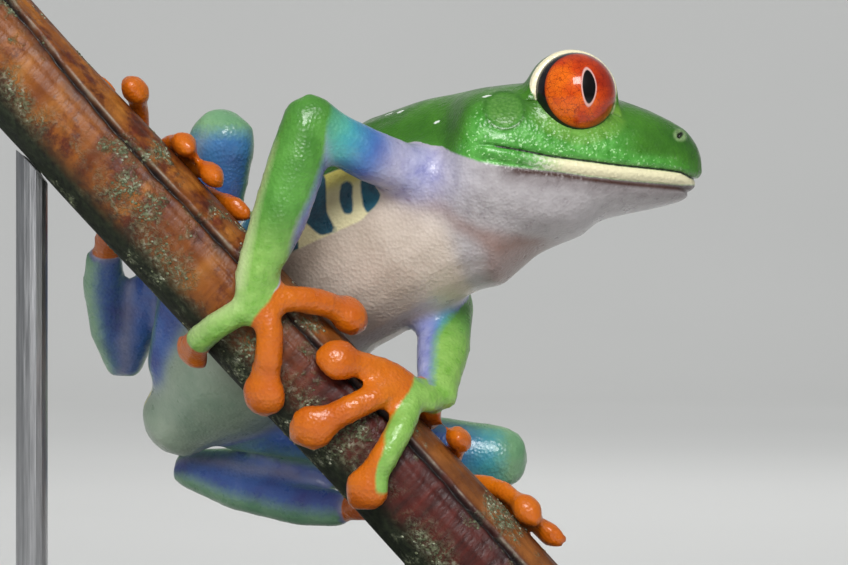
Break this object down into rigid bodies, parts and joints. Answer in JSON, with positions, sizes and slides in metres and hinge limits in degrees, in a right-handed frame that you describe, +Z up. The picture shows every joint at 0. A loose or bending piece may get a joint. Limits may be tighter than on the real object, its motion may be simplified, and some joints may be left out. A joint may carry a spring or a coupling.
{
  "type": "tree frog display model",
  "caption": "Life-size still model of a red-eyed tree frog gripping a cut length of stem, held on a flat stand by two rods.",
  "frame": {"origin": "centre of the underside of the stand's base", "axes": "+Z up, +X towards the frog's snout, -Y towards the viewer and the frog's right side"},
  "size_m": [0.0773, 0.052, 0.0783],
  "materials": {
    "green_skin": "moist satin",
    "pale_skin": "granular satin",
    "orange_skin": "moist gloss",
    "blue_skin": "satin",
    "eye_red": "high gloss",
    "stem_bark": "smooth bark with lichen",
    "base_paint": "fine matt powder coat",
    "rod_steel": "brushed"
  },
  "bodies": {
    "root": {"head": "green_skin", "lower_jaw": "pale_skin", "eye_right": "eye_red", "eye_left": "eye_red", "trunk_front": "pale_skin", "trunk_rear": "pale_skin", "upper_arm_right": "green_skin", "upper_arm_left": "green_skin", "forearm_right": "green_skin", "forearm_left": "green_skin", "hand_right": "orange_skin", "hand_left": "orange_skin", "thigh_right": "blue_skin", "thigh_left": "blue_skin", "shank_right": "blue_skin", "shank_left": "blue_skin", "tarsus_right": "blue_skin", "tarsus_left": "blue_skin", "foot_right": "orange_skin", "foot_left": "orange_skin", "perch_stem": "stem_bark", "stand_base": "base_paint", "stand_rod_upper": "rod_steel", "stand_rod_lower": "rod_steel"}
  },
  "joints": []
}
